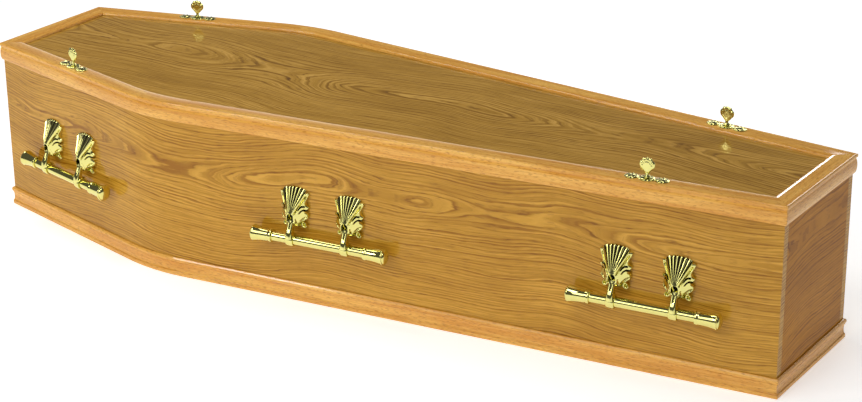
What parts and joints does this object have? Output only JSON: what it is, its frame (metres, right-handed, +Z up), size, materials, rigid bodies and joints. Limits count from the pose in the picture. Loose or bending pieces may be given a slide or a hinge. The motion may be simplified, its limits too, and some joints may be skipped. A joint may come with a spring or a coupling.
{
  "type": "wooden coffin",
  "caption": "Tapered, shouldered wooden coffin with a moulded plinth, a framed lift-off lid, swinging brass bar handles and lid thumb-screws.",
  "frame": {"origin": "centre of the footprint, on the floor that the coffin stands on", "axes": "+X towards the foot end, -X towards the head end, +Y to the left of a person lying in it, +Z up"},
  "size_m": [1.9428, 0.631, 0.4362],
  "materials": {
    "side_veneer": "golden oak veneer under clear gloss lacquer",
    "end_veneer": "oak veneer under clear gloss lacquer, seen in shade",
    "lid_veneer": "oak veneer under clear gloss lacquer",
    "moulding": "solid oak moulding, lacquered",
    "base_board": "plain board, unlacquered",
    "brass": "bright electro-brassed plating"
  },
  "bodies": {
    "case": {"side_panel_right": "side_veneer", "side_panel_left": "side_veneer", "head_panel": "end_veneer", "foot_panel": "end_veneer", "base_board": "base_board", "lid_board": "lid_veneer", "base_moulding_right": "moulding", "lid_moulding_right_head": "moulding", "lid_moulding_right_foot": "moulding", "base_moulding_left": "moulding", "lid_moulding_left_head": "moulding", "lid_moulding_left_foot": "moulding", "base_moulding_head": "moulding", "lid_moulding_head": "moulding", "base_moulding_foot": "moulding", "lid_moulding_foot": "moulding", "handle_right_head_backplate_1": "brass", "handle_right_head_backplate_2": "brass", "handle_right_middle_backplate_1": "brass", "handle_right_middle_backplate_2": "brass", "handle_right_foot_backplate_1": "brass", "handle_right_foot_backplate_2": "brass", "handle_left_head_backplate_1": "brass", "handle_left_head_backplate_2": "brass", "handle_left_middle_backplate_1": "brass", "handle_left_middle_backplate_2": "brass", "handle_left_foot_backplate_1": "brass", "handle_left_foot_backplate_2": "brass", "lid_screw_plate_right_head": "brass", "lid_screw_right_head": "brass", "lid_screw_plate_right_foot": "brass", "lid_screw_right_foot": "brass", "lid_screw_plate_left_head": "brass", "lid_screw_left_head": "brass", "lid_screw_plate_left_foot": "brass", "lid_screw_left_foot": "brass"},
    "handle_right_head": {"handle_right_head_bar": "brass", "handle_right_head_arm_1": "brass", "handle_right_head_arm_2": "brass"},
    "handle_right_middle": {"handle_right_middle_bar": "brass", "handle_right_middle_arm_1": "brass", "handle_right_middle_arm_2": "brass"},
    "handle_right_foot": {"handle_right_foot_bar": "brass", "handle_right_foot_arm_1": "brass", "handle_right_foot_arm_2": "brass"},
    "handle_left_head": {"handle_left_head_bar": "brass", "handle_left_head_arm_1": "brass", "handle_left_head_arm_2": "brass"},
    "handle_left_middle": {"handle_left_middle_bar": "brass", "handle_left_middle_arm_1": "brass", "handle_left_middle_arm_2": "brass"},
    "handle_left_foot": {"handle_left_foot_bar": "brass", "handle_left_foot_arm_1": "brass", "handle_left_foot_arm_2": "brass"}
  },
  "joints": [
    {"name": "handle_right_head_swing", "type": "hinge", "parent": "case", "child": "handle_right_head", "pos_m": [-0.72207, -0.2538, 0.185], "axis": [-0.9675, 0.2529, 0], "range_deg": [-8, 90]},
    {"name": "handle_right_middle_swing", "type": "hinge", "parent": "case", "child": "handle_right_middle", "pos_m": [-0.00455, -0.28321, 0.185], "axis": [-0.9948, -0.1022, 0], "range_deg": [-8, 90]},
    {"name": "handle_right_foot_swing", "type": "hinge", "parent": "case", "child": "handle_right_foot", "pos_m": [0.70445, -0.21039, 0.185], "axis": [-0.9948, -0.1022, 0], "range_deg": [-8, 90]},
    {"name": "handle_left_head_swing", "type": "hinge", "parent": "case", "child": "handle_left_head", "pos_m": [-0.72207, 0.2538, 0.185], "axis": [0.9675, 0.2529, 0], "range_deg": [-8, 90]},
    {"name": "handle_left_middle_swing", "type": "hinge", "parent": "case", "child": "handle_left_middle", "pos_m": [-0.00455, 0.28321, 0.185], "axis": [0.9948, -0.1022, 0], "range_deg": [-8, 90]},
    {"name": "handle_left_foot_swing", "type": "hinge", "parent": "case", "child": "handle_left_foot", "pos_m": [0.70445, 0.21039, 0.185], "axis": [0.9948, -0.1022, 0], "range_deg": [-8, 90]}
  ]
}
